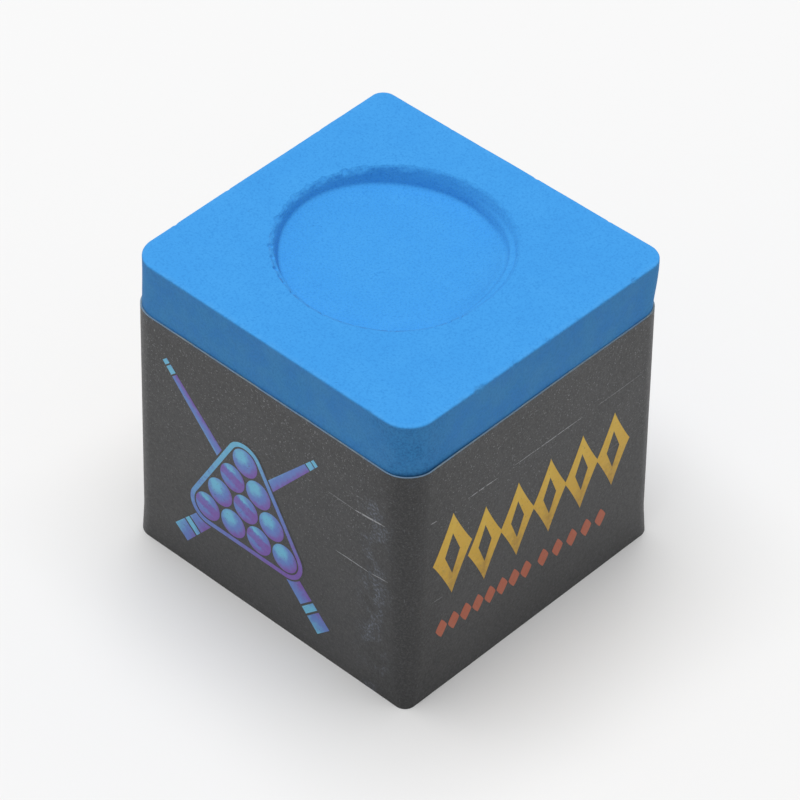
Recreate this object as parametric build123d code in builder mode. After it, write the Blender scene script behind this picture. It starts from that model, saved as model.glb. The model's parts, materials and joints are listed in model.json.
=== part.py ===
"""Billiard cue chalk: a pressed chalk cube with a shallow tip recess and a paper label glued round it.

Millimetres, +Z up. The origin is at the middle of the underside, where the cube stands. The -Y side is the front,
which carries the printed motif, and the paper's lap is on the +Y side.
"""

from build123d import *

import os

# ---------------------------------------------------------------------------------------------------------------------
# Driving dimensions
# ---------------------------------------------------------------------------------------------------------------------

overall_width = 22.20  # along X, over the paper
overall_depth = 21.30  # along Y, over one thickness of paper on each side
overall_height = 21.20

paper_thickness = 0.10
adhesive_thickness = 0.03
lining = paper_thickness + adhesive_thickness  # paper and its adhesive together

block_width = overall_width - 2 * lining
block_depth = overall_depth - 2 * lining
block_base = lining  # height of the chalk's underside
edge_round = 0.20  # soft horizontal edges of the chalk

# Radius of each upright edge of the chalk, by the X and Y side it is on.
corner_radii = {
    (-1, -1): 1.50,
    (1, -1): 1.60,
    (1, 1): 1.30,
    (-1, 1): 0.70,
}

# The recess that the cue's tip turns in: a short cylindrical wall under a flared rim, a little off the middle.
recess_centre = (-0.80, 0.60)
recess_radius = 6.75
recess_rim_radius = 7.00
recess_flare_depth = 0.35
recess_depth = 1.35
recess_floor_round = 0.20

# The wrapped label: its upper edge leaves a band of bare chalk, its lower edge is just off the table.
label_bottom = 0.08
label_top = 17.65
adhesive_margin = 0.30  # the adhesive stops this far short of the paper's upper and lower edges

# Its lap, on the +Y side: the outer end passes over the inner end.
inner_end_x = 8.90
lap_length = 2.40
lap_ramp = 0.50  # length over which the outer end climbs onto the inner end

# The base label is a little smaller than the chalk it is stuck to.
base_label_inset = 0.55

os.makedirs("parts", exist_ok=True)


# ---------------------------------------------------------------------------------------------------------------------
# Shared shapes
# ---------------------------------------------------------------------------------------------------------------------


def block_outline(growth, height):
    """The chalk's outline seen from above, grown evenly on all sides, as a sketch at the given height."""
    with BuildSketch(Plane.XY.offset(height)) as outline:
        Rectangle(block_width + 2 * growth, block_depth + 2 * growth)
        for (x_side, y_side), radius in corner_radii.items():
            corner = outline.vertices().sort_by(lambda v: v.X * x_side + v.Y * y_side)[-1]
            fillet(corner, radius + growth)
    return outline.sketch


def side_layer(inner_growth, outer_growth, bottom, top):
    """One layer round the four sides, between two growths of the chalk's outline and two heights."""
    with BuildPart() as layer:
        extrude(block_outline(outer_growth, bottom), amount=top - bottom)
        extrude(block_outline(inner_growth, bottom), amount=top - bottom, mode=Mode.SUBTRACT)
    return layer.part


# Levels of the lap's layers along Y, outwards from the adhesive on the chalk.
paper_inner_y = block_depth / 2 + adhesive_thickness
paper_outer_y = paper_inner_y + paper_thickness
lap_inner_y = paper_outer_y + adhesive_thickness
lap_outer_y = lap_inner_y + paper_thickness
outer_end_x = inner_end_x - lap_length
ramp_foot_x = inner_end_x + lap_ramp

# ---------------------------------------------------------------------------------------------------------------------
# Chalk block
# ---------------------------------------------------------------------------------------------------------------------

# Upright plane through the recess's axis, with its own X outwards and its own Y upwards.
recess_plane = Plane(origin=(*recess_centre, 0), x_dir=(1, 0, 0), z_dir=(0, -1, 0))

with BuildPart() as chalk_block:
    extrude(block_outline(0, block_base), amount=overall_height - block_base)
    top_edges = chalk_block.edges().group_by(Axis.Z)[-1]
    base_edges = chalk_block.edges().group_by(Axis.Z)[0]
    fillet(top_edges + base_edges, edge_round)
    with BuildSketch(recess_plane):
        with BuildLine():
            Polyline(
                (0, overall_height),
                (recess_rim_radius, overall_height),
                (recess_radius, overall_height - recess_flare_depth),
                (recess_radius, overall_height - recess_depth),
                (0, overall_height - recess_depth),
                close=True,
            )
        make_face()
    revolve(axis=Axis((*recess_centre, 0), (0, 0, 1)), mode=Mode.SUBTRACT)
    floor_edge = chalk_block.faces().filter_by(Plane.XY).sort_by(Axis.Z)[-2].edges()
    fillet(floor_edge, recess_floor_round)

chalk_block.part.label = "chalk_block"
export_step(chalk_block.part, "parts/chalk_block.step")

# ---------------------------------------------------------------------------------------------------------------------
# Side label: one strip of paper, lapped over itself on the +Y side
# ---------------------------------------------------------------------------------------------------------------------

with BuildPart() as side_label:
    add(side_layer(adhesive_thickness, lining, label_bottom, label_top))
    # The strip's two ends do not meet: the ramp's stretch of the ring is taken out.
    with BuildSketch(Plane.XY.offset(label_bottom)):
        with Locations(((inner_end_x + ramp_foot_x) / 2, (paper_inner_y + paper_outer_y) / 2)):
            Rectangle(lap_ramp, paper_thickness)
    extrude(amount=label_top - label_bottom, mode=Mode.SUBTRACT)
    # The outer end climbs the ramp and lies over the inner end.
    with BuildSketch(Plane.XY.offset(label_bottom)):
        with BuildLine():
            Polyline(
                (ramp_foot_x, paper_inner_y),
                (ramp_foot_x, paper_outer_y),
                (inner_end_x, lap_outer_y),
                (outer_end_x, lap_outer_y),
                (outer_end_x, lap_inner_y),
                (inner_end_x, lap_inner_y),
                close=True,
            )
        make_face()
    extrude(amount=label_top - label_bottom)

side_label.part.label = "side_label"
export_step(side_label.part, "parts/side_label.step")

# ---------------------------------------------------------------------------------------------------------------------
# Side adhesive: the film between chalk and paper, and the film inside the lap
# ---------------------------------------------------------------------------------------------------------------------

adhesive_bottom = label_bottom + adhesive_margin
adhesive_top = label_top - adhesive_margin

with BuildPart() as side_adhesive:
    add(side_layer(0, adhesive_thickness, adhesive_bottom, adhesive_top))
    with BuildSketch(Plane.XY.offset(adhesive_bottom)):
        with BuildLine():
            Polyline(
                (ramp_foot_x, paper_inner_y),
                (inner_end_x, lap_inner_y),
                (outer_end_x, lap_inner_y),
                (outer_end_x, paper_outer_y),
                (inner_end_x, paper_outer_y),
                (inner_end_x, paper_inner_y),
                close=True,
            )
        make_face()
    extrude(amount=adhesive_top - adhesive_bottom)

side_adhesive.part.label = "side_adhesive"
export_step(side_adhesive.part, "parts/side_adhesive.step")

# ---------------------------------------------------------------------------------------------------------------------
# Base label and its adhesive
# ---------------------------------------------------------------------------------------------------------------------

with BuildPart() as base_label:
    extrude(block_outline(-base_label_inset, 0), amount=paper_thickness)

base_label.part.label = "base_label"
export_step(base_label.part, "parts/base_label.step")

with BuildPart() as base_adhesive:
    extrude(block_outline(-base_label_inset, paper_thickness), amount=adhesive_thickness)

base_adhesive.part.label = "base_adhesive"
export_step(base_adhesive.part, "parts/base_adhesive.step")
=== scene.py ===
"""Looks of the cue chalk cube: pressed blue chalk in a printed black paper label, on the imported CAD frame.

Shapes are worked out in millimetres in the CAD's own frame, and turned to metres when a mesh is made.
"""

import json
import math

import bpy
import numpy as np
from mathutils import Matrix, Vector, noise
from mathutils.geometry import delaunay_2d_cdt


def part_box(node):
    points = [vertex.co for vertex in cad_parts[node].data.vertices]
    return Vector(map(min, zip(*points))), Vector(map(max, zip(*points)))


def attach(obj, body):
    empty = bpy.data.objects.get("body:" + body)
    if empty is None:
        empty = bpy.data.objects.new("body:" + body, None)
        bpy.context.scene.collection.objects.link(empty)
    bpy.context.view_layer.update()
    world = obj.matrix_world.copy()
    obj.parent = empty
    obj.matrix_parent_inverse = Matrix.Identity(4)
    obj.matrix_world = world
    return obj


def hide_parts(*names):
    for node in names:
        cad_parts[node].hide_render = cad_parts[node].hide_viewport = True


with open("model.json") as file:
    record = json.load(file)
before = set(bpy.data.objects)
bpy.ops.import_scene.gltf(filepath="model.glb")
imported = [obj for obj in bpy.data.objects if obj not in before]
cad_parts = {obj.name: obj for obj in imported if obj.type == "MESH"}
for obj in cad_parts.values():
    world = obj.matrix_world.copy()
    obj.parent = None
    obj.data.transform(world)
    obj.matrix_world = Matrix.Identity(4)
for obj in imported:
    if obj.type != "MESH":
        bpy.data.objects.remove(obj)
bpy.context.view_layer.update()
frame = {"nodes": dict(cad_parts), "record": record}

MM = 0.001


# ---- Sizes, from the frame --------------------------------------------------


def box_mm(node):
    """Lowest and highest corner of a CAD node, in millimetres."""
    low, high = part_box(node)
    return np.array(low) / MM, np.array(high) / MM


block_low, block_high = box_mm("chalk_block")
label_high = box_mm("side_label")[1]
adhesive_low, adhesive_high = box_mm("side_adhesive")
base_low, base_high = box_mm("base_label")
tip_recess = next(m for m in frame["record"]["mounts"] if m["name"] == "tip_recess")

HALF_WIDTH = (block_high[0] - block_low[0]) / 2
HALF_DEPTH = (block_high[1] - block_low[1]) / 2
TOP = block_high[2]
BASE = block_low[2]
LABEL_TOP = label_high[2]
LABEL_BOTTOM = 0.012  # the real label reaches the table
LINING = label_high[0] - block_high[0]  # one thickness of paper with its adhesive
RECESS_CENTRE = np.array(tip_recess["pos_m"][:2]) / MM

# How far the label's two faces stand outside the chalk's outline. The print stands on the outer one.
PAPER_INNER = 0.012
PAPER_OUTER = LINING - 0.020  # keeps the print and the uneven paper inside the CAD box
INK = 0.007  # height of one layer of ink

# The lap on the +Y side: the strip's inner end, and the outer end that climbs over it.
LAP_INNER_END_X = 8.90
LAP_OUTER_END_X = 6.50
LAP_RAMP_FOOT_X = 9.40


# ---- The cube's outline -----------------------------------------------------

# Corners anticlockwise from above: near, right, far and left. Each has its X and Y side, and its radius at
# three heights: at the table, where the paper is creased sharpest, above it, and from the label's top up.
CORNER_SIDES = np.array([(1, -1), (1, 1), (-1, 1), (-1, -1)], float)
CORNER_HEIGHTS = (0.0, 2.0, LABEL_TOP)
CORNER_RADII = ((0.60, 1.05, 1.80), (0.85, 1.20, 1.35), (0.70, 0.75, 0.88), (1.05, 1.35, 1.75))
HALF_SIZE = np.array([HALF_WIDTH, HALF_DEPTH])
ROUND = 8  # once round the cube: four corners and four sides


def corner_arc(corner, z):
    """Radius of a corner at height z, and the centre that it turns about."""
    radii = np.stack([np.interp(z, CORNER_HEIGHTS, row) for row in CORNER_RADII])
    radius = np.take_along_axis(radii, corner[None], 0)[0]
    centre = CORNER_SIDES[corner] * (HALF_SIZE - radius[..., None])
    return radius, centre


def outline(q, z, growth):
    """Points round the cube at height z, grown outwards. q goes once round as 0 to 8: each even unit is a
    corner, in the order of CORNER_SIDES, and the odd unit after it is the side that follows."""
    q, z, growth = np.broadcast_arrays(np.asarray(q, float), z, growth)
    unit = np.floor(q).astype(int) % ROUND
    part = q - np.floor(q)
    corner = unit // 2
    on_side = unit % 2 == 1
    angle = np.radians(90.0 * (corner - 1 + np.where(on_side, 1.0, part)))
    normal = np.stack([np.cos(angle), np.sin(angle)], -1)
    radius, centre = corner_arc(corner, z)
    next_radius, next_centre = corner_arc((corner + 1) % 4, z)
    here = centre + (radius + growth)[..., None] * normal
    there = next_centre + (next_radius + growth)[..., None] * normal
    along = np.where(on_side, part, 0.0)[..., None]
    flat = here * (1 - along) + there * along
    return np.concatenate([flat, z[..., None]], -1)


# The corner that each side follows, the axis along it, and which way u runs on that axis.
SIDE_AXES = {"right": (0, 1, 1), "back": (1, 0, -1), "left": (2, 1, -1), "front": (3, 0, 1)}


def side_q(side, u, z):
    """q of a point on a flat side. u runs to the right, as seen from outside, from the side's middle."""
    corner, axis, sign = SIDE_AXES[side]
    z = np.asarray(z, float)
    corner = np.full(z.shape, corner)
    start = corner_arc(corner, z)[1][..., axis]
    end = corner_arc((corner + 1) % 4, z)[1][..., axis]
    return 2 * corner + 1 + (sign * u - start) / (end - start)


def sampled(corner_steps, side_steps):
    """Values of q once round the cube, without the last."""
    steps = [corner_steps, side_steps] * 4
    return np.concatenate([unit + np.arange(n) / n for unit, n in enumerate(steps)])


# ---- Noise and mesh helpers -------------------------------------------------


def field(points, size, seed, octaves=3):
    """Smooth noise of about -1 to 1 at each point, with features of the given size in millimetres."""
    flat = points.reshape(-1, 3) / size + seed * 17.3
    values = [noise.fractal(Vector(p), 0.9, 2.1, octaves) for p in flat]
    return np.array(values).reshape(points.shape[:-1])


def smooth(low, high, value):
    """0 at low and beyond, 1 at high and beyond, and smooth between. high may be the smaller one."""
    t = np.clip((value - low) / (high - low), 0, 1)
    return t * t * (3 - 2 * t)


class Shape:
    """Vertices, faces and per-vertex values gathered for one mesh."""

    def __init__(self):
        self.points = []
        self.faces = []
        self.slots = []
        self.flat = []
        self.values = []
        self.count = 0

    def add_points(self, points, values=0.0):
        """Adds points of any array shape and returns their indices in that shape."""
        shape = points.shape[:-1]
        points = points.reshape(-1, 3)
        self.points.append(points)
        self.values.append(np.broadcast_to(values, shape).reshape(-1))
        indices = self.count + np.arange(len(points))
        self.count += len(points)
        return indices.reshape(shape)

    def add_faces(self, faces, slot=0, flat=False):
        self.faces.extend(faces)
        self.slots.extend([slot] * len(faces))
        self.flat.extend([flat] * len(faces))

    def add_grid(self, index, wrap=False, slot=0, flat=False):
        """Quads between the rows of a grid of indices. wrap joins the last column to the first."""
        following = np.roll(index, -1, axis=1) if wrap else index[:, 1:]
        current = index if wrap else index[:, :-1]
        quads = np.stack([current[:-1], following[:-1], following[1:], current[1:]], -1).reshape(-1, 4)
        self.add_faces(quads.tolist(), slot, flat)

    def build(self, name, materials, value_name="edge_highlight_rim_shade"):
        """The finished object, in metres, with its materials, riding on the body."""
        mesh = bpy.data.meshes.new(name)
        points = np.concatenate(self.points) * MM
        mesh.from_pydata(points.tolist(), [], self.faces)
        mesh.polygons.foreach_set("material_index", self.slots)
        mesh.polygons.foreach_set("use_smooth", np.logical_not(self.flat))
        attribute = mesh.attributes.new(value_name, "FLOAT", "POINT")
        attribute.data.foreach_set("value", np.concatenate(self.values))
        for material in materials:
            mesh.materials.append(material)
        mesh.validate()
        piece = bpy.data.objects.new(name, mesh)
        bpy.context.collection.objects.link(piece)
        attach(piece, "root")
        return piece


def add_disc(shape, loop, points, spacing, facing, height=None):
    """Fills a loop with even triangles, level or at heights from a function. facing is 1 up and -1 down."""
    ring = points[:, :2]
    middle = ring.mean(0)
    reach = np.abs(ring - middle).max(0)
    steps = [np.arange(-r, r + spacing, spacing) for r in reach]
    rows = np.stack(np.meshgrid(*steps), -1)
    rows[1::2, :, 0] += spacing / 2
    inside = rows.reshape(-1, 2) + middle
    distance = np.sqrt(((inside[:, None] - ring[None, ::4]) ** 2).sum(-1)).min(1)
    inner = np.array([p for p, d in zip(inside, distance) if d > spacing * 0.8 and contains(ring, p)])
    flat = [Vector(p) for p in np.concatenate([ring, inner])]
    edges = [(i, (i + 1) % len(ring)) for i in range(len(ring))]
    result = delaunay_2d_cdt(flat, edges, [], 1, 1e-6)
    heights = np.full(len(inner), points[:, 2].mean()) if height is None else height(inner)
    added = shape.add_points(np.column_stack([inner, heights]))
    lookup = np.concatenate([loop, added])
    source = [origin[0] for origin in result[3]]
    faces = []
    for triangle in result[2]:
        a, b, c = (flat[source[i]] for i in triangle)
        turn = (b - a).cross(c - a)
        ordered = triangle if turn * facing > 0 else triangle[::-1]
        faces.append([int(lookup[source[i]]) for i in ordered])
    shape.add_faces(faces)


def contains(ring, point):
    """True if the point is inside the closed ring."""
    x, y = point
    ax, ay = ring.T
    bx, by = np.roll(ring, -1, axis=0).T
    crosses = ((ay > y) != (by > y)) & (x < (bx - ax) * (y - ay) / np.where(by == ay, 1e-9, by - ay) + ax)
    return crosses.sum() % 2 == 1


# ---- Node helpers -----------------------------------------------------------


class Nodes:
    """A material's node tree, with short calls for what the materials here use."""

    def __init__(self, name):
        self.material = bpy.data.materials.new(name)
        self.material.use_nodes = True
        self.tree = self.material.node_tree
        self.shader = self.tree.nodes["Principled BSDF"]
        place = self.add("ShaderNodeTexCoord").outputs["Object"]
        self.mm = self.vector("SCALE", place, scale=1 / MM)

    def add(self, kind, inputs=None, **settings):
        node = self.tree.nodes.new(kind)
        for key, value in settings.items():
            setattr(node, key, value)
        for key, value in (inputs or {}).items():
            self.set(node, key, value)
        return node

    def set(self, node, key, value):
        if isinstance(value, bpy.types.NodeSocket):
            self.tree.links.new(value, node.inputs[key])
        else:
            node.inputs[key].default_value = value

    def shade(self, **inputs):
        """Sets or links inputs of the shader. Underscores in a name stand for spaces."""
        for key, value in inputs.items():
            self.set(self.shader, key.replace("_", " "), value)

    def vector(self, operation, a, b=None, scale=None):
        node = self.add("ShaderNodeVectorMath", {0: a}, operation=operation)
        if b is not None:
            self.set(node, 1, b)
        if scale is not None:
            self.set(node, "Scale", scale)
        return node.outputs["Value" if operation in ("LENGTH", "DOT_PRODUCT", "DISTANCE") else "Vector"]

    def math(self, operation, a, b=0.0):
        return self.add("ShaderNodeMath", {0: a, 1: b}, operation=operation).outputs[0]

    def noise(self, size, detail=3.0, roughness=0.55, stretch=(1, 1, 1), seed=0.0):
        """Noise of 0 to 1 with features of the given size in millimetres."""
        scaled = self.vector("MULTIPLY", self.mm, tuple(s / size for s in stretch))
        moved = self.vector("ADD", scaled, (seed, seed * 0.7, -seed))
        inputs = {"Vector": moved, "Scale": 1.0, "Detail": detail, "Roughness": roughness}
        return self.add("ShaderNodeTexNoise", inputs).outputs["Fac"]

    def remap(self, value, low, high, out_low=0.0, out_high=1.0):
        """Smooth step from out_low at low to out_high at high."""
        node = self.add(
            "ShaderNodeMapRange",
            {"Value": value, "From Min": low, "From Max": high, "To Min": out_low, "To Max": out_high},
            interpolation_type="SMOOTHSTEP",
        )
        return node.outputs["Result"]

    def mix(self, factor, a, b):
        """Colour a at factor 0 and b at 1. Each is a colour or a socket."""
        node = self.add("ShaderNodeMix", data_type="RGBA")
        self.set(node, "Factor", factor)
        for key, colour in ((6, a), (7, b)):
            self.set(node, key, colour if isinstance(colour, bpy.types.NodeSocket) else (*colour, 1.0))
        return node.outputs[2]

    def axis(self, name):
        return self.add("ShaderNodeSeparateXYZ", {0: self.mm}).outputs[name]

    def attribute(self, name):
        return self.add("ShaderNodeAttribute", attribute_name=name).outputs["Fac"]

    def bump(self, height, distance_mm, normal=None):
        inputs = {"Height": height, "Distance": distance_mm * MM, "Strength": 1.0}
        if normal is not None:
            inputs["Normal"] = normal
        return self.add("ShaderNodeBump", inputs).outputs["Normal"]


# ---- Materials --------------------------------------------------------------

CHALK_BLUE = (0.036, 0.305, 0.750)
CHALK_PALE = (0.062, 0.350, 0.785)
CHALK_DEEP = (0.020, 0.225, 0.620)
# Painted shade: the dark of tiny hollows, painted where the surface has none.
CHALK_PIT_SHADE = (0.010, 0.130, 0.400)
# Painted highlight: the paler chalk along the top edges.
CHALK_EDGE_HIGHLIGHT = (0.090, 0.380, 0.780)
# Painted shade: the darker chalk on the near rim's crumbly line.
CHALK_CRUMB_SHADE = (0.038, 0.200, 0.520)
# Painted shade and painted sheen: the sides above the label are a darker, greyer copy of the chalk, in
# blotches and with a darker grain.
SIDE_SHADED = ((0.048, 0.256, 0.555), (0.037, 0.229, 0.580))
SIDE_SHADED_GRAIN = (0.030, 0.175, 0.430)
# Painted shade: the sides' darkest chalk, at the near corner.
CORNER_SHADED = ((0.030, 0.225, 0.520), (0.018, 0.150, 0.390))
COATING = (0.050, 0.050, 0.051)
# Painted shade: the coating is lighter at the table and darker towards the label's top.
COATING_LOW = (0.0365, 0.0365, 0.0375)  # at the table
COATING_HIGH = (0.031, 0.031, 0.032)  # at the label's top
# Painted shade: the coating's darkest colour, on the near corner.
COATING_CORNER_SHADE = (0.017, 0.017, 0.018)  # on the near corner
COATING_CLOUD = (0.066, 0.066, 0.070)
COATING_GRAIN = (0.085, 0.086, 0.089)
COATING_STREAK = (0.25, 0.26, 0.28)
COATING_SPECK = (0.27, 0.28, 0.29)
DUST = (0.165, 0.195, 0.250)
CORE = (0.30, 0.37, 0.39)
CORE_DUST = (0.16, 0.30, 0.46)
CORE_RUBBED = (0.46, 0.47, 0.49)
ADHESIVE = ((0.30, 0.24, 0.13), (0.45, 0.40, 0.28))

EDGE_HIGHLIGHT_REACH = 0.22  # how far the painted highlight reaches from the top edge
SMEAR_FROM_CORNER = 2.5  # along the front, from the near corner to the middle of the smear of dust


def chalk_material():
    """Dry pressed chalk: fine grain and faint mottling, rare dark spots painted as the shade of tiny
    hollows, a painted highlight along the top edges, a crumbly near rim painted darker as shade, and sides
    painted a darker, greyer, blotchy chalk as shade and sheen, darkest at the near corner."""
    n = Nodes("pressed_chalk")
    mottle = n.noise(2.2, detail=5.0, seed=3.0)
    grain = n.noise(0.14, detail=2.0, roughness=0.7, seed=11.0)
    colour = n.mix(n.remap(mottle, 0.30, 0.72, 0.0, 0.40), CHALK_BLUE, CHALK_PALE)
    colour = n.mix(n.remap(grain, 0.42, 0.78, 0.0, 0.70), colour, CHALK_DEEP)
    # Painted shade: rare dark spots for tiny hollows.
    pit_shade = n.remap(n.noise(0.24, detail=1.0, seed=29.0), 0.780, 0.800)
    colour = n.mix(n.math("MULTIPLY", pit_shade, 0.40), colour, CHALK_PIT_SHADE)
    # Painted highlight: a paler line along the top edges, in patches.
    edge_highlight = n.math("MULTIPLY", n.attribute("edge_highlight_rim_shade"), n.remap(n.noise(0.5, seed=5.0), 0.30, 0.65))
    colour = n.mix(n.math("MULTIPLY", edge_highlight, 0.22), colour, CHALK_EDGE_HIGHLIGHT)
    # Painted shade: a darker line of crumbs along the near side of the recess's rim.
    crumbs = n.remap(n.noise(0.45, detail=3.0, roughness=0.6, seed=71.0), 0.46, 0.66, 0.30, 1.0)
    rim = n.math("MULTIPLY", n.remap(n.attribute("edge_highlight_rim_shade"), 0.0, -1.0), crumbs)
    colour = n.mix(rim, colour, CHALK_CRUMB_SHADE)
    # Painted shade and painted sheen: the sides are painted a darker, greyer, blotchy chalk, with a darker
    # grain.
    away = n.vector("LENGTH", n.vector("MULTIPLY", n.mm, (1, 1, 0)))
    beside = n.math("MULTIPLY", n.remap(n.axis("Z"), TOP - 0.04, TOP - 0.20), n.remap(away, 8.5, 9.5))
    blotch = n.remap(n.noise(1.5, detail=5.0, roughness=0.6, seed=47.0), 0.36, 0.66)
    side_shaded = n.mix(blotch, *SIDE_SHADED)
    side_shaded = n.mix(n.remap(grain, 0.35, 0.75, 0.0, 0.55), side_shaded, SIDE_SHADED_GRAIN)
    colour = n.mix(n.math("MULTIPLY", beside, 0.90), colour, side_shaded)
    # Painted shade: the sides grow darker still towards the near corner.
    darker = n.math("MULTIPLY", near_corner(n), n.remap(blotch, 0.0, 1.0, 0.55, 1.0))
    corner_shading = n.mix(n.remap(grain, 0.35, 0.70), *CORNER_SHADED)
    colour = n.mix(n.math("MULTIPLY", beside, darker), colour, corner_shading)
    coarse = n.bump(n.noise(0.45, detail=5.0, roughness=0.65, seed=8.0), 0.018)
    fine = n.bump(grain, 0.018, normal=coarse)
    n.shade(Base_Color=colour, Roughness=n.remap(mottle, 0.3, 0.7, 0.88, 0.97), Normal=fine)
    n.shader.inputs["Specular IOR Level"].default_value = 0.5
    return n.material


def near_corner(n):
    """How close a point is to the near corner, where shade is painted: 1 there, and 0 from about 4.6 mm
    away.
    """
    corner = (HALF_WIDTH, -HALF_DEPTH, 0.0)
    distance = n.vector("DISTANCE", n.vector("MULTIPLY", n.mm, (1, 1, 0)), corner)
    uneven = n.remap(n.noise(1.8, detail=4.0, seed=53.0), 0.3, 0.7, -0.5, 0.5)
    return n.remap(n.math("ADD", distance, uneven), 4.6, 0.4)


def coating_material():
    """Matt black coated paper with paper grain, light specks, chalk dust and faint scuffed streaks, and
    painted
    shade: lighter at the table, darker towards the label's top, darkest on the near corner.
    """
    n = Nodes("black_label")
    height = n.axis("Z")
    cloud = n.noise(3.5, detail=4.0, seed=2.0)
    # Painted shade: lighter at the table and darker towards the label's top.
    colour = n.mix(n.remap(height, 0.0, LABEL_TOP), COATING_LOW, COATING_HIGH)
    colour = n.mix(n.remap(cloud, 0.30, 0.75, 0.0, 0.25), colour, COATING_CLOUD)
    # Painted shade on the near corner.
    colour = n.mix(n.math("MULTIPLY", near_corner(n), 0.95), colour, COATING_CORNER_SHADE)
    specks = n.remap(n.noise(0.11, detail=2.0, roughness=0.6, seed=7.0), 0.605, 0.71)
    more_above = n.remap(height, 3.0, LABEL_TOP, 0.16, 0.70)
    fewer_at_corner = n.remap(near_corner(n), 0.0, 1.0, 1.0, 0.4)
    specks = n.math("MULTIPLY", specks, n.math("MULTIPLY", more_above, fewer_at_corner))
    colour = n.mix(specks, colour, COATING_SPECK)
    fine_grain = n.noise(0.13, detail=2.0, roughness=0.8, seed=61.0)
    colour = n.mix(n.remap(fine_grain, 0.40, 0.75, 0.0, 0.5), colour, COATING_GRAIN)
    streaks = n.remap(n.noise(0.10, detail=1.0, stretch=(1, 1, 0.2), seed=13.0), 0.68, 0.76)
    streaked = n.math("MULTIPLY", streaks, n.remap(n.noise(2.0, seed=31.0), 0.50, 0.70, 0.0, 0.30))
    colour = n.mix(streaked, colour, COATING_STREAK)
    colour = n.mix(label_dust(n), colour, DUST)
    grain = n.noise(0.22, detail=3.0, roughness=0.6, seed=17.0)
    n.shade(
        Base_Color=colour,
        Roughness=n.remap(grain, 0.3, 0.7, 0.44, 0.56),
        Normal=n.bump(grain, 0.010),
    )
    return n.material


def label_dust(n):
    """How much chalk dust lies at a point of the label: a patchy smear beside the near corner, and a little
    under the upper edge, both in fine grains."""
    smear_line = (HALF_WIDTH - SMEAR_FROM_CORNER, -HALF_DEPTH, 0.0)
    from_line = n.vector("DISTANCE", n.vector("MULTIPLY", n.mm, (1, 1, 0)), smear_line)
    beside = n.remap(from_line, 1.7, 0.2)
    patchy = n.remap(n.noise(1.1, detail=2.0, roughness=0.5, stretch=(1, 1, 0.7), seed=23.0), 0.46, 0.70)
    grains = n.remap(n.noise(0.18, detail=2.0, roughness=0.6, seed=43.0), 0.48, 0.66, 0.12, 1.0)
    smear = n.math("MULTIPLY", n.math("MULTIPLY", beside, patchy), 0.75)
    under_edge = n.remap(n.axis("Z"), LABEL_TOP - 1.1, LABEL_TOP)
    thin = n.remap(n.noise(1.1, detail=4.0, seed=41.0), 0.40, 0.75, 0.0, 0.26)
    spread = n.math("MULTIPLY", under_edge, thin)
    return n.math("MULTIPLY", n.math("MAXIMUM", smear, spread), grains)


def core_material():
    """The cut edge and back of the paper: grey-white fibre, lightly dusted with chalk."""
    n = Nodes("paper_core")
    fibre = n.noise(0.25, detail=4.0, stretch=(1, 1, 2), seed=4.0)
    colour = n.mix(n.remap(fibre, 0.35, 0.70), tuple(c * 0.72 for c in CORE), CORE)
    dusty = n.remap(n.noise(0.9, seed=6.0), 0.35, 0.65, 0.0, 0.75)
    colour = n.mix(dusty, colour, CORE_DUST)
    n.shade(Base_Color=colour, Roughness=n.remap(fibre, 0.3, 0.7, 0.82, 0.95), Normal=n.bump(fibre, 0.010))
    return n.material


def ink_material(name, low, middle, high):
    """Printed ink whose colour follows the tint of each point, with tiny gaps where the coating shows."""
    n = Nodes(name)
    tint = n.attribute("tint")
    uneven = n.math("ADD", tint, n.remap(n.noise(0.35, detail=3.0, seed=9.0), 0.3, 0.7, -0.08, 0.08))
    colour = n.mix(n.remap(uneven, 0.0, 0.5), low, middle)
    colour = n.mix(n.remap(uneven, 0.5, 1.0), colour, high)
    gaps = n.remap(n.noise(0.12, detail=2.0, seed=19.0), 0.66, 0.72, 0.0, 0.45)
    colour = n.mix(gaps, colour, COATING)
    grain = n.noise(0.22, detail=3.0, roughness=0.6, seed=17.0)
    n.shade(Base_Color=colour, Roughness=n.remap(grain, 0.3, 0.7, 0.42, 0.55), Normal=n.bump(grain, 0.008))
    return n.material


def scuff_material():
    """A scuffed line in the coating: the pale core showing in broken patches."""
    n = Nodes("rubbed_line")
    broken = n.remap(n.noise(0.20, detail=4.0, roughness=0.7, seed=37.0), 0.34, 0.50)
    strength = n.math("MULTIPLY", broken, n.attribute("tint"))
    colour = n.mix(strength, COATING, CORE_RUBBED)
    n.shade(Base_Color=colour, Roughness=n.remap(broken, 0.0, 1.0, 0.55, 0.85))
    return n.material


def adhesive_material():
    """Dried clear adhesive, yellowed in patches."""
    n = Nodes("dried_adhesive")
    patches = n.noise(0.8, detail=4.0, seed=14.0)
    colour = n.mix(n.remap(patches, 0.35, 0.65), *ADHESIVE)
    roughness = n.remap(patches, 0.3, 0.7, 0.30, 0.55)
    n.shade(Base_Color=colour, Roughness=roughness, Normal=n.bump(patches, 0.01))
    return n.material


# ---- Chalk block ------------------------------------------------------------

RECESS_DEPTH = 1.35
FLOOR_ROUND = 0.20  # between the recess's floor and wall
EDGE_ROUND = 0.11  # along the top and bottom edges
BURIED = 0.25  # the side is finely meshed this far below the label's upper edge
NEAR_SHOULDER = 0.12  # how much rounder the recess's rim is on its near side
RIM_LINE = (0.08, 0.07)  # the near rim's crumbly line, painted darker as shade: how far outside the rim's radius it is, and its width

# How far each corner of the top stands from its true place, because the pressed block is not quite square.
TOP_LEAN = {"near": (-0.07, 0.06), "right": (0.11, 0.25), "far": (-0.10, -0.08), "left": (0.01, 0.10)}

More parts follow.
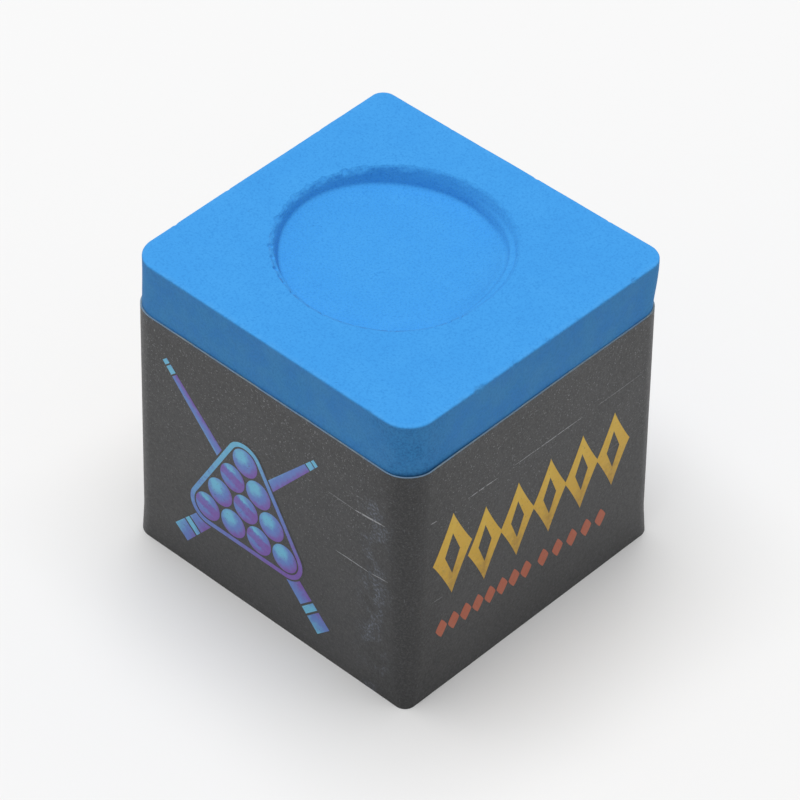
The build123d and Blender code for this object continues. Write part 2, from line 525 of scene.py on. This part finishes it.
# Round the recess, at angles in degrees anticlockwise from +X: the radius of the wall's foot and of the rim,
# the depth, how suddenly the wall flares (1 is a plain slope), how ragged the rim is, and how clear a ledge
# is half way up the wall.
RIM_SECTORS = (
    (0, 6.46, 7.03, 0.45, 1.1, 0.45, 0.7), (15, 6.38, 7.03, 0.42, 1.0, 0.45, 0.8),
    (30, 6.34, 7.04, 0.44, 1.0, 0.60, 0.8), (45, 6.30, 7.05, 0.64, 1.1, 0.80, 0.5),
    (58, 6.16, 7.06, 0.92, 1.1, 0.90, 0.2), (72, 6.20, 7.06, 1.14, 1.2, 0.90, 0.1),
    (90, 6.38, 7.04, 1.20, 1.4, 0.80, 0.0), (106, 6.46, 7.05, 1.18, 1.4, 0.80, 0.0),
    (124, 6.52, 7.05, 1.18, 1.2, 0.90, 0.0), (139, 6.60, 7.04, 1.08, 1.1, 1.20, 0.0),
    (156, 6.68, 7.06, 0.95, 1.1, 1.50, 0.0), (175, 6.74, 7.09, 0.82, 1.2, 1.70, 0.0),
    (193, 6.74, 7.06, 0.80, 1.2, 1.60, 0.0), (210, 6.66, 6.99, 0.86, 1.3, 1.40, 0.0),
    (225, 6.62, 6.93, 0.92, 1.3, 1.20, 0.0), (250, 6.66, 6.95, 1.02, 1.2, 0.90, 0.0),
    (285, 6.82, 7.15, 1.10, 1.0, 0.70, 0.0), (322, 6.90, 7.36, 1.00, 1.0, 0.60, 0.0),
    (345, 6.66, 7.11, 0.75, 1.0, 0.50, 0.4), (360, 6.46, 7.03, 0.45, 1.1, 0.45, 0.7),
)

# Chips out of the rim: angle, reach and depth. Those at an angle in NEAR_CHIPS are pits in its upper side.
RIM_CHIPS = (
    (49, 0.22, 0.10), (55, 0.18, 0.08), (66, 0.22, 0.09), (74, 0.20, 0.09), (92, 0.26, 0.07),
    (112, 0.26, 0.07), (147, 0.26, 0.12), (157, 0.28, 0.16), (168, 0.30, 0.10), (178, 0.24, 0.13),
    (187, 0.32, 0.18), (196, 0.28, 0.09), (206, 0.26, 0.14), (217, 0.24, 0.12), (225, 0.20, 0.12),
    (233, 0.16, 0.10), (241, 0.20, 0.16), (247, 0.15, 0.12), (252, 0.13, 0.10), (260, 0.17, 0.13),
    (266, 0.12, 0.08), (280, 0.15, 0.12), (296, 0.13, 0.08), (311, 0.14, 0.09), (331, 0.15, 0.11),
    (338, 0.17, 0.13), (344, 0.13, 0.09),
)
NEAR_CHIPS = range(222, 350)

# Chips along the top edges: side, place along it as in side_q, reach and depth.
EDGE_CHIPS = (
    ("right", -8.3, 0.15, 0.03), ("right", -7.0, 0.17, 0.04), ("right", -6.3, 0.24, 0.07),
    ("right", -5.1, 0.34, 0.13), ("right", -4.7, 0.26, 0.12), ("right", -3.8, 0.20, 0.06),
    ("right", -2.5, 0.22, 0.07), ("right", -2.1, 0.30, 0.11), ("right", -0.6, 0.16, 0.05),
    ("right", 0.5, 0.24, 0.09), ("right", 1.1, 0.18, 0.06), ("right", 2.9, 0.20, 0.07),
    ("right", 5.1, 0.17, 0.06), ("right", 7.6, 0.26, 0.13), ("front", -7.6, 0.22, 0.06),
    ("front", -2.2, 0.24, 0.06), ("front", 3.4, 0.18, 0.05), ("front", 7.9, 0.24, 0.06),
    ("back", -6.5, 0.16, 0.03), ("back", -1.0, 0.18, 0.04), ("back", 5.5, 0.15, 0.03),
    ("left", -5.0, 0.16, 0.03), ("left", 2.5, 0.17, 0.03), ("left", 6.8, 0.18, 0.04),
)


def around_recess(angle, column):
    """A column of RIM_SECTORS at each angle in radians, evened out over a few degrees."""
    table = np.array(RIM_SECTORS)
    turned = np.degrees(angle)[..., None] + np.linspace(-9, 9, 7)
    return np.interp(turned % 360, table[:, 0], table[:, column]).mean(-1)


def floor_height(places):
    """Height of the recess's floor, which rises towards its edge wherever the recess is shallower there."""
    from_centre = places[..., :2] - RECESS_CENTRE
    angle = np.arctan2(from_centre[..., 1], from_centre[..., 0])
    share = np.linalg.norm(from_centre, axis=-1) / (around_recess(angle, 1) - FLOOR_ROUND)
    shallower = RECESS_DEPTH - around_recess(angle, 3)
    return TOP - RECESS_DEPTH + shallower * np.clip(share, 0, 1) ** 4


def recess_rings(angle):
    """Rings from the middle of the recess's floor up to its rim."""
    full_depth = around_recess(angle, 3)
    rise = (np.linspace(0, 1, 30) ** 0.85)[:, None]
    depth = full_depth * (1 - rise)
    wall, rim, ledge = (around_recess(angle, column) for column in (1, 2, 6))
    stepped = 0.5 * rise + 0.5 * smooth(0.45, 0.64, rise)
    slope = (1 - ledge) * rise ** around_recess(angle, 4) + ledge * stepped
    foot = np.clip(1 - (full_depth - depth) / FLOOR_ROUND, 0, 1)
    radius = wall + (rim - wall) * slope - FLOOR_ROUND * (1 - np.sqrt(1 - foot**2))
    degrees = np.degrees(angle) % 360
    shoulder = 0.08 + NEAR_SHOULDER * smooth(222, 245, degrees) * smooth(352, 332, degrees)
    radius = radius + shoulder * np.clip(1 - depth / (0.04 + shoulder), 0, 1) ** 1.3 - 0.06
    grooves = np.sin(depth * 2 * math.pi / 0.30) * smooth(0.25, 0.45, depth) * smooth(1.30, 1.10, depth)
    radius = radius + 0.006 * grooves * ledge
    around = np.stack([np.cos(angle), np.sin(angle)], -1)
    flat = RECESS_CENTRE + radius[..., None] * around
    wall_rings = np.concatenate([flat, (TOP - depth)[..., None]], -1)
    shares = np.array([0.62, 0.74, 0.84, 0.92, 0.97])[:, None, None]
    flat = RECESS_CENTRE + shares * (wall_rings[0, :, :2] - RECESS_CENTRE)
    floor_rings = np.concatenate([flat, floor_height(flat)[..., None]], -1)
    return np.concatenate([floor_rings, wall_rings])


def crumble_rim(points):
    """Breaks up the recess's rim: a fine raggedness all round, then the chips."""
    from_centre = points[..., :2] - RECESS_CENTRE
    angle = np.arctan2(from_centre[..., 1], from_centre[..., 0])
    radius = np.linalg.norm(from_centre, axis=-1)
    depth = TOP - points[..., 2]
    beyond = radius - around_recess(angle, 2)
    close = (depth < 0.7) & (np.abs(beyond) < 0.5)
    here, beyond, depth, angle = points[close], beyond[close], depth[close], angle[close]
    around = np.column_stack([np.cos(angle), np.sin(angle)])
    circle = np.column_stack([7 * around, 0.4 * depth])
    ragged = 0.075 * np.abs(field(circle, 0.30, 1, 3)) + 0.110 * np.clip(field(circle, 0.95, 2, 3), 0, 1)
    on_wall = smooth(0.36, 0.04, depth + 0.06 * field(here, 0.30, 3, 2))
    amount = ragged * on_wall * smooth(0.45, 0.02, beyond) * around_recess(angle, 5)
    points[close, :2] += amount[:, None] * around
    for degrees, reach, chip_depth in RIM_CHIPS:
        place = np.radians(degrees)
        outward = np.array([math.cos(place), math.sin(place), 0])
        centre = np.array([*RECESS_CENTRE, TOP - 0.04]) + (around_recess(place, 2) + 0.06) * outward
        push = (0.3 * outward - (0, 0, 1)) if degrees in NEAR_CHIPS else outward
        chip(points, centre, push, reach, chip_depth)


def top_rings(rim, edge):
    """Rings over the top from the rim to the edge's rounding, close together at both, and how far they are
    from the edge."""
    across = edge - rim
    span = np.linalg.norm(across, axis=-1)
    inner = 0.55 * np.linspace(0, 1, 12)[1:] ** 1.5
    outer = 0.60 * np.linspace(1, 0, 10)[:-1] ** 1.4
    middle = np.linspace(0, 1, 19)[1:-1]
    places = [np.full_like(span, s) for s in inner]
    places += [inner[-1] + (span - inner[-1] - outer[0]) * t for t in middle]
    places += [span - s for s in outer]
    places = np.array(places)
    points = rim + across * (places / span)[..., None]
    return points, span - places


def side_rings(q):
    """Rings from the top edge's rounding down the sides and in under the base, and their depth."""
    turn = np.radians(np.linspace(0, 90, 9))
    rounding = [(TOP - EDGE_ROUND * (1 - math.cos(a)), -EDGE_ROUND * (1 - math.sin(a))) for a in turn]
    band = np.linspace(TOP - EDGE_ROUND, LABEL_TOP - BURIED, 25)[1:]
    buried = np.linspace(LABEL_TOP - BURIED, BASE + EDGE_ROUND, 9)[1:]
    under = [(BASE + EDGE_ROUND * (1 - math.sin(a)), -EDGE_ROUND * (1 - math.cos(a))) for a in turn[2::2]]
    path = rounding + [(z, 0.0) for z in (*band, *buried)] + under + [(BASE, -0.36), (BASE, -0.55)]
    points = np.array([outline(q, z, growth) for z, growth in path])
    depth = np.array([TOP - z for z, growth in path])
    return points, np.broadcast_to(depth[:, None], points.shape[:2])


def grid_normals(points):
    """Outward normals of rings that wrap round."""
    across = np.gradient(points, axis=0)
    along = np.roll(points, -1, axis=1) - np.roll(points, 1, axis=1)
    normal = np.cross(across, along)
    return normal / np.maximum(np.linalg.norm(normal, axis=-1, keepdims=True), 1e-9)


def chip(points, centre, inward, reach, depth):
    """Pushes the points within reach of centre along inward, with ragged sides and a rough bottom."""
    distance = np.linalg.norm(points - centre, axis=-1)
    close = distance < reach
    ragged = distance[close] / reach + 0.20 * field(points[close], 0.20, 4, 2)
    amount = depth * np.clip(1.7 * (1 - ragged), 0, 1)
    points[close] += amount[:, None] * inward


def lean_top(points):
    """Moves the exposed chalk's corners to where TOP_LEAN says, fading out below the label's upper edge."""
    x = (points[..., 0] / HALF_WIDTH + 1) / 2
    y = (points[..., 1] / HALF_DEPTH + 1) / 2
    weights = {"near": x * (1 - y), "right": x * y, "far": (1 - x) * y, "left": (1 - x) * (1 - y)}
    rise = smooth(LABEL_TOP - 0.5, TOP - 0.3, points[..., 2])
    for corner, shift in TOP_LEAN.items():
        points[..., :2] += (weights[corner] * rise)[..., None] * shift


def roughen(points, normals, q):
    """Uneven pressing, the chalk worn back behind the gaping paper, then chips, all above the label's upper
    edge.
    """
    open_chalk = smooth(LABEL_TOP - 0.3, LABEL_TOP + 0.1, points[..., 2])
    uneven = np.minimum(0.014 * field(points, 4.0, 1) + 0.006 * field(points, 0.8, 2), 0.014)
    worn = SET_BACK * gape(q, points[..., 2])
    points += (open_chalk * (uneven - 0.012) - worn - 0.003)[..., None] * normals
    crumble_rim(points)
    for side, u, reach, depth in EDGE_CHIPS:
        z = np.array([TOP])
        centre = outline(side_q(side, u, z), z, 0.0)[0]
        on_faces = np.abs(centre[:2]) >= HALF_SIZE - 0.01
        inward = -np.array([*np.sign(centre[:2]) * on_faces, 1.0])
        chip(points, centre, inward / np.linalg.norm(inward), reach, depth)


def near_rim(points):
    """How close each point is to the crumbly line along the near side of the recess's rim, which is painted
    darker as shade.
    """
    from_centre = points[..., :2] - RECESS_CENTRE
    angle = np.arctan2(from_centre[..., 1], from_centre[..., 0])
    outside, width = RIM_LINE
    beyond = np.linalg.norm(from_centre, axis=-1) - around_recess(angle, 2) - outside
    degrees = np.degrees(angle) % 360
    near_side = smooth(200, 228, degrees) * smooth(360, 340, degrees)
    return near_side * np.exp(-((beyond / width) ** 2)) * smooth(TOP - 0.5, TOP - 0.3, points[..., 2])


def make_chalk_block():
    """The block in rings, from the middle of the recess over the top, down the sides and under the base. Its
    value for painted light is 1 at the top edge, for the painted highlight, and -1 on the crumbly line at
    the recess's rim, for painted shade."""
    q = sampled(24, 158)
    edge = outline(q, TOP, -EDGE_ROUND)
    angle = np.arctan2(edge[:, 1] - RECESS_CENTRE[1], edge[:, 0] - RECESS_CENTRE[0])
    recess = recess_rings(angle)
    top, top_gap = top_rings(recess[-1], edge)
    sides, side_gap = side_rings(q)
    points = np.concatenate([recess, top[:-1], sides])
    far_off = np.full(recess.shape[:2], 9.0)
    edge_gap = np.concatenate([far_off, top_gap[:-1], side_gap])
    normals = grid_normals(points)
    roughen(points, normals, q)
    lean_top(points)
    shape = Shape()
    # Painted light: a highlight near the top edge, and shade on the near rim's crumbly line.
    index = shape.add_points(points, np.exp(-((edge_gap / EDGE_HIGHLIGHT_REACH) ** 2)) - near_rim(points))
    shape.add_grid(index[::-1], wrap=True)
    add_disc(shape, index[0], points[0], 0.42, 1, floor_height)
    add_disc(shape, index[-1], points[-1], 1.6, -1)
    piece = shape.build("chalk_cube", [chalk_material()])
    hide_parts("chalk_block")
    return piece


# ---- Side label -------------------------------------------------------------

WAVE = 0.014  # the paper lies this unevenly
STAND_OFF = 0.016  # the paper moves out this far where it gapes
SET_BACK = 0.07  # the chalk is worn back this far behind the gap


def gape(q, z):
    """How much the paper gapes: only near its upper edge, at the near corner and on half of the +X side."""
    past = np.mod(q + 1, ROUND) - 1
    return smooth(-0.05, 0.5, past) * smooth(1.45, 0.8, past) * np.exp(-(((z - LABEL_TOP) / 0.9) ** 2))


def paper(q, z, growth):
    """Points of a layer of the label. Paper, print and rubbed lines all follow the same unevenness."""
    q, z, growth = np.broadcast_arrays(np.asarray(q, float), z, growth)
    lap_x = outline(q, z, 0.0)[..., 0]
    climb = smooth(LAP_RAMP_FOOT_X, LAP_INNER_END_X, lap_x) * LINING
    second_time_round = q > ROUND + 3  # from the +Y side on, where the strip comes back over its start
    lift = np.where(second_time_round, climb, 0.0)
    stand_off = STAND_OFF * gape(q, z)
    true = outline(q, z, PAPER_OUTER)
    uneven = -WAVE * (0.5 + 0.5 * field(true, 5.0, 6, 2))
    return outline(q, z, growth + uneven + lift + stand_off)


def strip_q(corner_steps, side_steps):
    """Each q along the strip, from its inner end once round the cube and over itself to its outer end."""
    z = np.array([LABEL_TOP / 2])
    back = {x: side_q("back", -x, z)[0] for x in (LAP_INNER_END_X, LAP_OUTER_END_X, LAP_RAMP_FOOT_X)}
    start = back[LAP_INNER_END_X]
    end = back[LAP_OUTER_END_X] + ROUND
    ramp = ROUND + np.linspace(back[LAP_RAMP_FOOT_X], back[LAP_INNER_END_X], 9)
    even = sampled(corner_steps, side_steps)
    loop = np.concatenate([even, even + ROUND])
    apart = 0.002  # keeps the even values off the exact ones
    off_ramp = (loop < ramp[0] - apart) | (loop > ramp[-1] + apart)
    clear = (loop > start + apart) & (loop < end - apart) & off_ramp
    return np.sort(np.concatenate([[start, end], loop[clear], ramp]))


def make_side_label():
    """The strip of paper. The cut edges have points of their own, so that they stay flat and crisp."""
    q = strip_q(22, 96)
    edge_z = LABEL_TOP - 0.02 + 0.02 * field(np.column_stack([q * 3, q * 0, q * 0]), 1.0, 8, 3)
    rows = LABEL_BOTTOM + (edge_z - LABEL_BOTTOM) * np.linspace(0, 1, 42)[:, None]
    outer = paper(q, rows, PAPER_OUTER)
    back_rows = LABEL_BOTTOM + (edge_z - LABEL_BOTTOM) * np.linspace(1, 0, 12)[:, None]
    inner = paper(q, back_rows, PAPER_INNER)
    shape = Shape()
    outer_index = shape.add_points(outer)
    inner_index = shape.add_points(inner)
    shape.add_grid(outer_index, slot=0)
    shape.add_grid(inner_index, slot=1)
    edges = [np.stack([outer[-1], inner[0]]), np.stack([inner[-1], outer[0]])]
    for edge in edges:
        shape.add_grid(shape.add_points(edge), slot=1, flat=True)
    inner_end = np.concatenate([outer[::-1, 0], inner[::-1, 0]])
    outer_end = np.concatenate([outer[:, -1], inner[:, -1]])
    for end in (inner_end, outer_end):
        shape.add_faces([shape.add_points(end).tolist()], slot=1, flat=True)
    piece = shape.build("wrapped_label", [coating_material(), core_material()])
    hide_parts("side_label")
    return piece


def make_side_adhesive():
    """The adhesive behind the paper and in its lap, from just inside the chalk almost to the paper."""
    heights = np.linspace(adhesive_low[2], adhesive_high[2], 30)
    section = [(z, PAPER_INNER * 0.6) for z in heights] + [(z, -0.01) for z in heights[::-1]]
    lap = strip_q(12, 40)[-24:]
    shape = Shape()
    for q, wrap in ((sampled(22, 48), True), (lap, False)):
        rings = np.array([paper(q, z, growth) for z, growth in section])
        index = shape.add_points(rings)
        shape.add_grid(np.concatenate([index, index[:1]]), wrap=wrap)
        if not wrap:
            shape.add_faces([[int(i) for i in index[::-1, 0]], [int(i) for i in index[:, -1]]], flat=True)
    piece = shape.build("label_adhesive", [adhesive_material()])
    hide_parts("side_adhesive")
    return piece


# ---- Base label -------------------------------------------------------------

BASE_BEVEL = 0.012  # along its lower edge


def make_base_label():
    """The sheet of paper on the underside, cut a little unevenly."""
    inset = -(HALF_WIDTH - (base_high[0] - base_low[0]) / 2)
    q = sampled(10, 40)
    edge = outline(q, 0.0, inset)
    cut = 0.03 * field(edge, 3.0, 12)
    shape = Shape()
    section = ((base_low[2], inset - BASE_BEVEL), (base_low[2] + BASE_BEVEL, inset))
    rings = [outline(q, z, growth + cut) for z, growth in section]
    upper = outline(q, base_high[2], inset + cut)
    index = shape.add_points(np.array(rings))
    shape.add_grid(index, wrap=True)
    wall = shape.add_points(np.array([rings[-1], upper]))
    shape.add_grid(wall, wrap=True, slot=1, flat=True)
    add_disc(shape, index[0], rings[0], 1.5, -1)
    add_disc(shape, wall[-1], upper, 1.5, 1)
    materials = [bpy.data.materials[name] for name in ("black_label", "paper_core")]
    piece = shape.build("underside_label", materials)
    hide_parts("base_label")
    return piece


# ---- Print: plates of ink on the label --------------------------------------


class Print:
    """Plates of ink on one side of the label. Shapes are given as grids of (u, z) points."""

    def __init__(self, side):
        self.side = side
        self.shape = Shape()

    def on_label(self, places, height):
        u, z = places[..., 0], places[..., 1]
        return paper(side_q(self.side, u, z), z, PAPER_OUTER + height)

    def plate(self, places, tint, wrap=False, layer=1, slot=0):
        """One plate. Rows of places run across it, or round it with wrap, and its rim drops to the paper."""
        tints = np.broadcast_to(tint, places.shape[:-1])
        top = self.on_label(places, layer * INK)
        self.shape.add_grid(self.shape.add_points(top, tints), wrap=wrap, slot=slot)
        foot = self.on_label(places, -INK)
        rims = [np.s_[0], np.s_[-1, ::-1]]
        if not wrap:
            rims += [np.s_[::-1, 0], np.s_[:, -1]]
        for rim in rims:
            drop = self.shape.add_points(np.stack([foot[rim], top[rim]]), np.stack([tints[rim], tints[rim]]))
            self.shape.add_grid(drop, wrap=wrap, slot=slot, flat=True)

    def build(self, name, materials):
        piece = self.shape.build(name, materials, "tint")
        return piece


def lozenge(centre, half_width, half_height, power, count=72):
    """A four-pointed loop: a plain diamond at power 2, with hollow sides above it and full ones below."""
    turn = np.linspace(0, 2 * math.pi, count, endpoint=False)
    c, s = np.cos(turn), np.sin(turn)
    x = np.sign(c) * np.abs(c) ** power * half_width
    y = np.sign(s) * np.abs(s) ** power * half_height
    return np.array(centre) + np.column_stack([x, y])


def rings_between(outer, inner, count):
    """Loops from outer to inner, as rows of a grid."""
    t = np.linspace(0, 1, count)[:, None, None]
    return outer * (1 - t) + inner * t


def print_rows(side):
    """The yellow row of tall pointed links, whose first is the largest, and the small red row under it."""
    yellow = Print(side)
    links = [(-6.95, 10.15, 1.55, 3.10)] + [(-6.95 + 2.72 * i, 9.05, 1.38, 2.85) for i in range(1, 6)]
    for u, z, half_width, half_height in links:
        outer = lozenge((u, z), half_width * 1.04, half_height, 2.15)
        inner = lozenge((u, z), half_width * 0.40, half_height * 0.50, 2.0)
        tint = 0.5 + 0.35 * (outer[None, :, 1] - z) / half_height
        yellow.plate(rings_between(outer, inner, 4), np.broadcast_to(tint, (4, 72)), wrap=True)
    yellow.build(f"print_links_{side}", [bpy.data.materials["yellow_ink"]])
    red = Print(side)
    places = [-7.75 + 1.02 * i for i in range(8)] + [0.85 + 1.24 * i for i in range(5)]
    for u in places:
        z = 4.42 - 0.045 * u
        outer = lozenge((u, z), 0.46, 0.68, 1.7, 40)
        middle = lozenge((u, z), 0.01, 0.01, 1.7, 40)
        red.plate(rings_between(outer, middle, 4), 0.5, wrap=True)
    red.build(f"print_diamonds_{side}", [bpy.data.materials["red_ink"]])


def ribbon(start, end, start_width, end_width, along, across=4):
    """A straight tapered band as a grid."""
    start, end = np.array(start), np.array(end)
    direction = (end - start) / np.linalg.norm(end - start)
    normal = np.array([-direction[1], direction[0]])
    t = np.linspace(0, 1, along)
    middle = start + (end - start) * t[:, None]
    half = (start_width + (end_width - start_width) * t)[:, None] / 2
    offset = np.linspace(1, -1, across)[:, None, None]
    return middle + offset * half * normal


def print_cue(sheet, tip, butt, slot):
    """A billiard cue in tapered lengths: tip, ferrule, shaft, ring, forearm, wrap, ring and butt."""
    tip, butt = np.array(tip), np.array(butt)
    # Where each length starts and ends, as shares of the cue, and its tint.
    lengths = (
        (0.000, 0.018, 1.00), (0.024, 0.055, 0.95), (0.061, 0.520, 0.30), (0.528, 0.548, 0.95),
        (0.556, 0.730, 0.55), (0.738, 0.890, 0.15), (0.898, 0.925, 0.90), (0.933, 1.000, 0.45),
    )
    for start, end, tint in lengths:
        a, b = tip + (butt - tip) * start, tip + (butt - tip) * end
        width, end_width = 0.45 + 0.85 * start, 0.45 + 0.85 * end
        grid = ribbon(a, b, width, end_width, max(3, int(60 * (end - start))))
        shine = np.linspace(-0.28, 0.28, 4)[:, None]
        drift = np.linspace(0, 0.25, grid.shape[1])[None]
        sheet.plate(grid, tint + shine + drift, slot=slot)


def disc(centre, radius, count=40, rings=7):
    """A filled circle as rings round its middle, from the rim inwards."""
    turn = np.linspace(0, 2 * math.pi, count, endpoint=False)
    loop = np.column_stack([np.cos(turn), np.sin(turn)])
    scale = np.linspace(1, 0.02, rings)[:, None, None]
    return np.array(centre) + radius * scale * loop


def print_motif(side, shift):
    """A generic billiards motif: two crossed cues behind balls in their rack."""
    sheet = Print(side)
    middle = np.array([-1.65 + shift, 8.45])
    print_cue(sheet, middle + (-6.4, 6.75), middle + (6.2, -6.5), 0)
    print_cue(sheet, middle + (5.6, 6.4), middle + (-5.4, -6.2), 0)
    ball = 0.98
    pitch = 2 * ball + 0.12
    row_height = pitch * math.sin(math.radians(60))
    first = middle + (0, 2.75)
    ends = [first, first + (-1.5 * pitch, -3 * row_height), first + (1.5 * pitch, -3 * row_height)]
    centroid = sum(ends) / 3
    # The rack: a dark field with a bright frame round it.
    field_edge = rounded_triangle(ends, ball + 0.56)
    dark_field = rings_between(field_edge, centroid + 0 * field_edge, 4)
    sheet.plate(dark_field, 0.0, wrap=True, layer=2, slot=1)
    frame_edge = rounded_triangle(ends, ball + 0.44)
    glow = 0.50 + 0.10 * (frame_edge - centroid) @ (-0.6, 0.8)
    frame_rings = rings_between(frame_edge, rounded_triangle(ends, ball + 0.12), 3)
    sheet.plate(frame_rings, np.broadcast_to(glow, (3, len(glow))), wrap=True, layer=3)
    for row in range(4):
        for place in range(row + 1):
            centre = first + (pitch * (place - row / 2), -row * row_height)
            grid = disc(centre, ball)
            from_shine = np.linalg.norm(grid - centre - (-0.32, 0.36), axis=-1) / ball
            tint = 1.20 - 0.85 * from_shine
            if (row + place) % 2:
                band = smooth(0.40, 0.30, np.abs((grid - centre) @ (0.34, 0.94)) / ball)
                tint = tint * (1 - 0.8 * band)
            sheet.plate(grid, tint, wrap=True, layer=3)
    knock_out = bpy.data.materials["black_label"]
    sheet.build(f"print_motif_{side}", [bpy.data.materials["violet_ink"], knock_out])


def rounded_triangle(ends, radius, count=24):
    """A loop round three circles, whose middles go anticlockwise from the top one."""
    points = []
    for end, facing in zip(ends, (90, 210, 330)):
        turn = np.radians(facing + np.linspace(-60, 60, count))
        points.append(end + radius * np.column_stack([np.cos(turn), np.sin(turn)]))
    return np.concatenate(points)


# Rubbed lines in the coating, mostly in two broken level lines round the cube: side, u and z of the one end,
# u and z of the other, width and strength.
SCUFFS = (
    ("front", 4.9, 13.34, 7.0, 13.30, 0.08, 0.50), ("front", 7.0, 13.30, 9.3, 13.52, 0.14, 1.00),
    ("front", 5.5, 9.20, 8.1, 9.22, 0.09, 0.80), ("front", 8.3, 9.24, 9.6, 9.40, 0.08, 0.80),
    ("front", -3.2, 13.16, 3.0, 13.20, 0.05, 0.20), ("right", -8.8, 13.62, -8.3, 13.55, 0.08, 0.80),
    ("right", -5.75, 13.55, -3.30, 13.48, 0.10, 0.85), ("right", -2.0, 13.50, 3.8, 13.44, 0.09, 0.75),
    ("right", 5.1, 13.48, 8.9, 13.46, 0.07, 0.50), ("right", 4.8, 9.24, 9.3, 9.20, 0.06, 0.30),
    ("right", -8.6, 7.35, -7.7, 7.26, 0.07, 0.45), ("left", -8.0, 13.45, -2.5, 13.40, 0.08, 0.60),
    ("left", 1.0, 9.20, 6.0, 9.25, 0.07, 0.45), ("back", -5.5, 13.40, 1.5, 13.45, 0.08, 0.50),
    ("back", 3.0, 9.25, 7.5, 9.20, 0.07, 0.50),
)


def make_scuffs():
    """The scuffed lines, as thin strips on the paper that narrow to both ends."""
    shape = Shape()
    for side, u0, z0, u1, z1, width, strength in SCUFFS:
        count = max(8, int(abs(u1 - u0) / 0.12))
        t = np.linspace(0, 1, count)
        u = u0 + (u1 - u0) * t
        wander = 0.015 * field(np.column_stack([u, z0 + 0 * u, 0 * u]), 0.8, 21)
        middle = z0 + (z1 - z0) * t + wander
        half = width / 2 * np.sin(math.pi * np.clip(t * 0.96 + 0.02, 0, 1)) ** 0.5
        z = np.array([middle + half, middle, middle - half])
        points = paper(side_q(side, np.broadcast_to(u, z.shape), z), z, PAPER_OUTER + INK * 0.6)
        tint = strength * np.array([0.45, 1.0, 0.45])[:, None]
        shape.add_grid(shape.add_points(points, np.broadcast_to(tint, z.shape)))
    piece = shape.build("rubbed_lines", [scuff_material()], "tint")
    return piece


# ---- Stage, lights and camera -----------------------------------------------

FLOOR_SIZE = 6.0  # metres
FLOOR_GREY = 0.84
KEY_PLACE = (-0.10, 0.03, 1.20)  # metres
KEY_SIZE = 1.00  # metres
KEY_POWER = 14.9
SKY_STRENGTH = 0.285

# The camera, solved from the cube's straight edges in the photograph.
AZIMUTH, ELEVATION, ROLL = 42.99, 42.29, 0.80  # degrees
LENS, SENSOR = 214.95, 36.0  # millimetres, like AIM
AIM = (0.52, -0.12, TOP / 2)
DISTANCE = 0.27645  # metres


def make_stage():
    """A plain pale floor."""
    n = Nodes("pale_floor")
    n.shade(Base_Color=(FLOOR_GREY, FLOOR_GREY, FLOOR_GREY, 1.0), Roughness=0.9)
    n.shader.inputs["Specular IOR Level"].default_value = 0.1
    bpy.ops.mesh.primitive_plane_add(size=FLOOR_SIZE)
    floor = bpy.context.object
    floor.name = "floor"
    floor.data.materials.append(n.material)


def make_lights():
    """One large soft light overhead, aimed at the cube, and an even white sky."""
    light = bpy.data.lights.new("key", "AREA")
    light.shape = "SQUARE"
    light.size = KEY_SIZE
    light.energy = KEY_POWER
    key = bpy.data.objects.new("key", light)
    bpy.context.collection.objects.link(key)
    key.location = KEY_PLACE
    aim = Vector((0, 0, TOP * MM / 2)) - key.location
    key.rotation_euler = aim.to_track_quat("-Z", "Y").to_euler()
    world = bpy.data.worlds.new("studio")
    bpy.context.scene.world = world
    world.use_nodes = True
    sky = world.node_tree.nodes["Background"]
    sky.inputs["Color"].default_value = (1.0, 1.0, 1.0, 1.0)
    sky.inputs["Strength"].default_value = SKY_STRENGTH
    bpy.context.scene.view_settings.view_transform = "Standard"


def make_camera():
    """A long lens looking down on the near corner."""
    azimuth, elevation, roll = (math.radians(angle) for angle in (AZIMUTH, ELEVATION, ROLL))
    aim = Vector(AIM) * MM
    back = Vector((
        math.sin(azimuth) * math.cos(elevation),
        -math.cos(azimuth) * math.cos(elevation),
        math.sin(elevation),
    ))
    data = bpy.data.cameras.new("camera")
    data.lens = LENS
    data.sensor_width = SENSOR
    camera = bpy.data.objects.new("camera", data)
    bpy.context.collection.objects.link(camera)
    turn = (-back).to_track_quat("-Z", "Y").to_matrix() @ Matrix.Rotation(roll, 3, "Z")
    camera.matrix_world = Matrix.Translation(aim + back * DISTANCE) @ turn.to_4x4()
    bpy.context.scene.camera = camera


# ---- The scene --------------------------------------------------------------

make_chalk_block()
make_side_label()
make_side_adhesive()
make_base_label()
frame["nodes"]["base_adhesive"].data.materials.clear()
frame["nodes"]["base_adhesive"].data.materials.append(bpy.data.materials["dried_adhesive"])

ink_material("yellow_ink", (0.45, 0.25, 0.020), (0.68, 0.41, 0.026), (0.74, 0.48, 0.040))
ink_material("red_ink", (0.38, 0.10, 0.050), (0.46, 0.11, 0.050), (0.50, 0.15, 0.07))
ink_material("violet_ink", (0.190, 0.085, 0.420), (0.120, 0.220, 0.600), (0.150, 0.520, 0.760))
print_motif("front", 0.0)
print_motif("back", 1.8)
print_rows("right")
print_rows("left")
make_scuffs()

make_stage()
make_lights()
make_camera()
